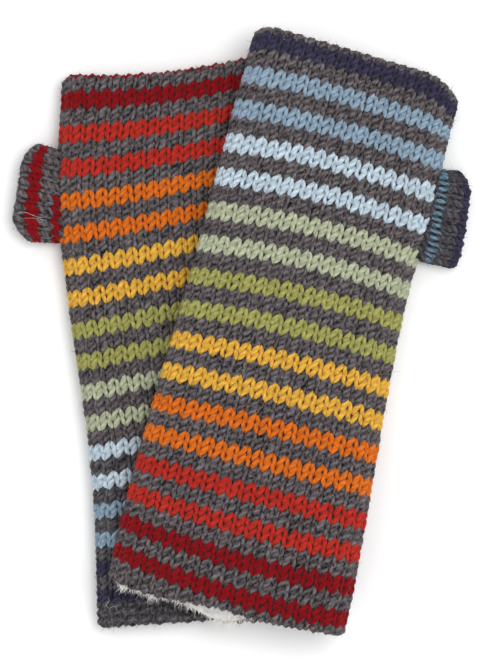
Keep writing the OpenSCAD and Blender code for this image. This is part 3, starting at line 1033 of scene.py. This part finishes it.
def attach_thumb(piece, name, colour, at_root):
    """Makes a piece ride on a thumb or, at its root between the hand and the thumb, stay fixed
    where it is.
    """
    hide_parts(f"{name}_thumb_{colour}_yarn")
    if at_root:
        thumb = Thumb(name)
        root = np.array([*thumb.root, THUMB_MIDDLE_Z])
        out = np.array([*thumb.out, 0.0])
        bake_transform(piece)
    else:
        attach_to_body(piece, f"{name}_thumb")


def knit_thumb(name):
    """The yarn of a thumb, a piece for each colour at its root and further out."""
    thumb = Thumb(name)
    n = thumb.columns
    middle = (np.arange(n) + 0.5) / n
    edge = thumb.point(np.full(n, 5.0), middle, np.zeros(n))
    cuff_side = edge[:, 1] < thumb.root[1] + 1.0
    meshes = {}
    for at, pitch, colour in THUMB_ROWS[name]:
        at_root = at < JOIN_ROWS_END
        keep = np.ones(n, bool)
        if name == "lower" and at_root and colour == "crimson":
            keep = cuff_side
            grey = meshes.setdefault(("grey", at_root), Mesh())
            stitch_row(grey, thumb, at, pitch, ~keep)
        mesh = meshes.setdefault((colour, at_root), Mesh())
        loop = PICKED_UP if colour == "blue" else {}
        stitch_row(mesh, thumb, at, pitch, keep, **loop)
    for (colour, at_root), mesh in meshes.items():
        where = "join" if at_root else "thumb"
        look = THUMB_LOOKS.get((name, colour), colour)
        piece = mesh.build(f"{name}_{where}_{colour}_loops", MATERIALS[look])
        attach_thumb(piece, name, colour, at_root)


def back_thumb_painted_shade(name):
    """The inside of a thumb's knitting, in a piece at its root and one further out."""
    thumb = Thumb(name)
    for where, start, end in (("join", -1.5, JOIN_END), ("thumb", JOIN_END, thumb.length - HEM)):
        mesh = Mesh()
        profile = [(at, BACK_DEPTH) for at in np.linspace(start, end, 6)]
        tube_surface(mesh, thumb, profile, THUMB_BACK_COLUMNS, rough=0.05)
        # The sheet is a grey darker than the yarn: painted shade in the gaps between the loops.
        piece = mesh.build(f"{name}_{where}_back", MATERIALS["back"])
        attach_thumb(piece, name, "grey", where == "join")


def line_thumb(name):
    """The fleece lining of a thumb, with its pile, turned round an edge at its end."""
    thumb = Thumb(name, folds=False)
    end, depth = thumb.length, THUMB_LINING_DEPTH
    mesh = Mesh()
    turned = lip(THUMB_LINING_TURN, THUMB_LINING_INSET, depth, THUMB_LINING_HALF)
    inner = [(at, depth) for at in np.linspace(end - 5.0, THUMB_LINING_ROOT, 8)]
    profile = [(end - at, level) for at, level in turned] + inner
    tube_surface(mesh, thumb, profile, THUMB_LINING_COLUMNS, rough=0.08)
    lining = mesh.build(f"{name}_thumb_fleece", MATERIALS["fleece"])
    attach(lining, f"{name}_thumb", f"{name}_thumb_lining")
    pile = Mesh()
    add_pile(pile, thumb, (4.0, end - 2.8), THUMB_PILE, depth, THUMB_PILE_LENGTH)
    fluff = pile.build(f"{name}_thumb_pile", MATERIALS["fleece"])
    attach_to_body(fluff, f"{name}_thumb")


def stitch_thumb(name):
    """The whip stitching that holds a thumb's lining to its knitting."""
    thumb = Thumb(name)
    place = thumb.length - END_STITCHES
    piece = whip_stitches(f"{name}_thumb_stitches", thumb, place, **THUMB_WHIP)
    attach(piece, f"{name}_thumb", f"{name}_thumb_stitching")


# Stray fibres: their points, the girth that their lengths are laid out on, and their depth.
STRAY_STEPS = 24
STRAY_GIRTH = 180
STRAY_DEPTH = -0.35


def stray_fibres(name, cloth, body, spans):
    """Long pale fibres that lie loose on the yarn. spans lists (place, around, length, turn)."""
    mesh = Mesh()
    t = np.linspace(0, 1, STRAY_STEPS)
    depth = np.full(STRAY_STEPS, STRAY_DEPTH)
    for place, around, length, turn in spans:
        wave = 0.12 * length * np.sin(2 * np.pi * t * rng.uniform(0.8, 1.6) + rng.uniform(0, 6))
        along = length * (t - 0.5)
        at = place + along * math.sin(turn) + wave * math.cos(turn)
        share = around + (along * math.cos(turn) - wave * math.sin(turn)) / STRAY_GIRTH
        line = cloth.point(at, share, depth)
        normal = surface_way(cloth, at, share, depth, line)
        yarn_tube(mesh, line, normal, 0.05 * np.sin(np.pi * np.clip(t, 0.06, 0.94)), False)
    piece = mesh.build(f"{name}_stray_fibres", MATERIALS["fleece"])
    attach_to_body(piece, body)


def shed_fibres():
    """The few long pale fibres that the fleece has shed on the lower glove."""
    on_hand = [(8.5, 0.70, 6, 0.5), (11, 0.71, 6, 1.7)]
    on_thumb = [(14, 0.60, 17, 1.3), (11, 0.62, 13, 1.8)]
    stray_fibres("lower_hand", Hand("lower"), "lower_glove", on_hand)
    stray_fibres("lower_thumb", Thumb("lower"), "lower_thumb", on_thumb)


for glove_name in GLOVES:
    loops = knit_hand(glove_name)
    back = knit_back_painted_shade(glove_name)
    line_hand(glove_name)
    stitch_hand(glove_name)
    knit_thumb(glove_name)
    back_thumb_painted_shade(glove_name)
    line_thumb(glove_name)
    stitch_thumb(glove_name)
shed_fibres()

# ---------------------------------------------------------------- floor, light and camera


# Metres, watts, and the sensor in millimetres. The frame's height is the photo's, which was
# taken from straight above.
FLOOR_HALF = 3.0
KEY_PLACE = (0.45, 0.25, 1.8)
KEY_SIZE = 1.0
KEY_POWER = 15
WORLD_STRENGTH = 0.97
FRAME_HEIGHT = 0.2618
FRAME_MIDDLE = (0.0029, 0.0008)
CAMERA_HEIGHT = 2.6
OBJECT_LEVEL = 0.014
SENSOR = 36


def plain_material(name, colour, roughness):
    """A matt paper or card for the stage."""
    material = bpy.data.materials.new(name)
    material.use_nodes = True
    shader = material.node_tree.nodes["Principled BSDF"]
    shader.inputs["Base Color"].default_value = colour
    shader.inputs["Roughness"].default_value = roughness
    return material


def make_floor():
    """The pale paper that the gloves lie on."""
    mesh = bpy.data.meshes.new("floor")
    signs = ((-1, -1), (1, -1), (1, 1), (-1, 1))
    corners = [(x * FLOOR_HALF, y * FLOOR_HALF, 0) for x, y in signs]
    mesh.from_pydata(corners, [], [(0, 1, 2, 3)])
    mesh.materials.append(plain_material("paper", (0.92, 0.92, 0.92, 1), 0.9))
    floor = bpy.data.objects.new("floor", mesh)
    bpy.context.scene.collection.objects.link(floor)


def add_area_light(name, place, size, power):
    """A round lamp that is aimed at the middle of the floor."""
    data = bpy.data.lights.new(name, "AREA")
    data.shape = "DISK"
    data.size = size
    data.energy = power
    light = bpy.data.objects.new(name, data)
    light.location = place
    light.rotation_euler = (-light.location).to_track_quat("-Z", "Y").to_euler()
    bpy.context.scene.collection.objects.link(light)


def make_world(strength):
    """Even white light from all round."""
    world = bpy.data.worlds.new("studio")
    world.use_nodes = True
    background = world.node_tree.nodes["Background"]
    background.inputs["Color"].default_value = (1, 1, 1, 1)
    background.inputs["Strength"].default_value = strength
    bpy.context.scene.world = world


def make_camera():
    """A camera straight above the gloves, whose frame is so high at the object's level."""
    data = bpy.data.cameras.new("camera")
    data.sensor_width = SENSOR
    data.lens = SENSOR * (CAMERA_HEIGHT - OBJECT_LEVEL) / FRAME_HEIGHT
    data.clip_end = 20
    camera = bpy.data.objects.new("camera", data)
    camera.location = (*FRAME_MIDDLE, CAMERA_HEIGHT)
    bpy.context.scene.collection.objects.link(camera)
    bpy.context.scene.camera = camera


make_floor()
make_world(WORLD_STRENGTH)
add_area_light("key", KEY_PLACE, KEY_SIZE, KEY_POWER)
make_camera()
bpy.context.scene.view_settings.view_transform = "Standard"
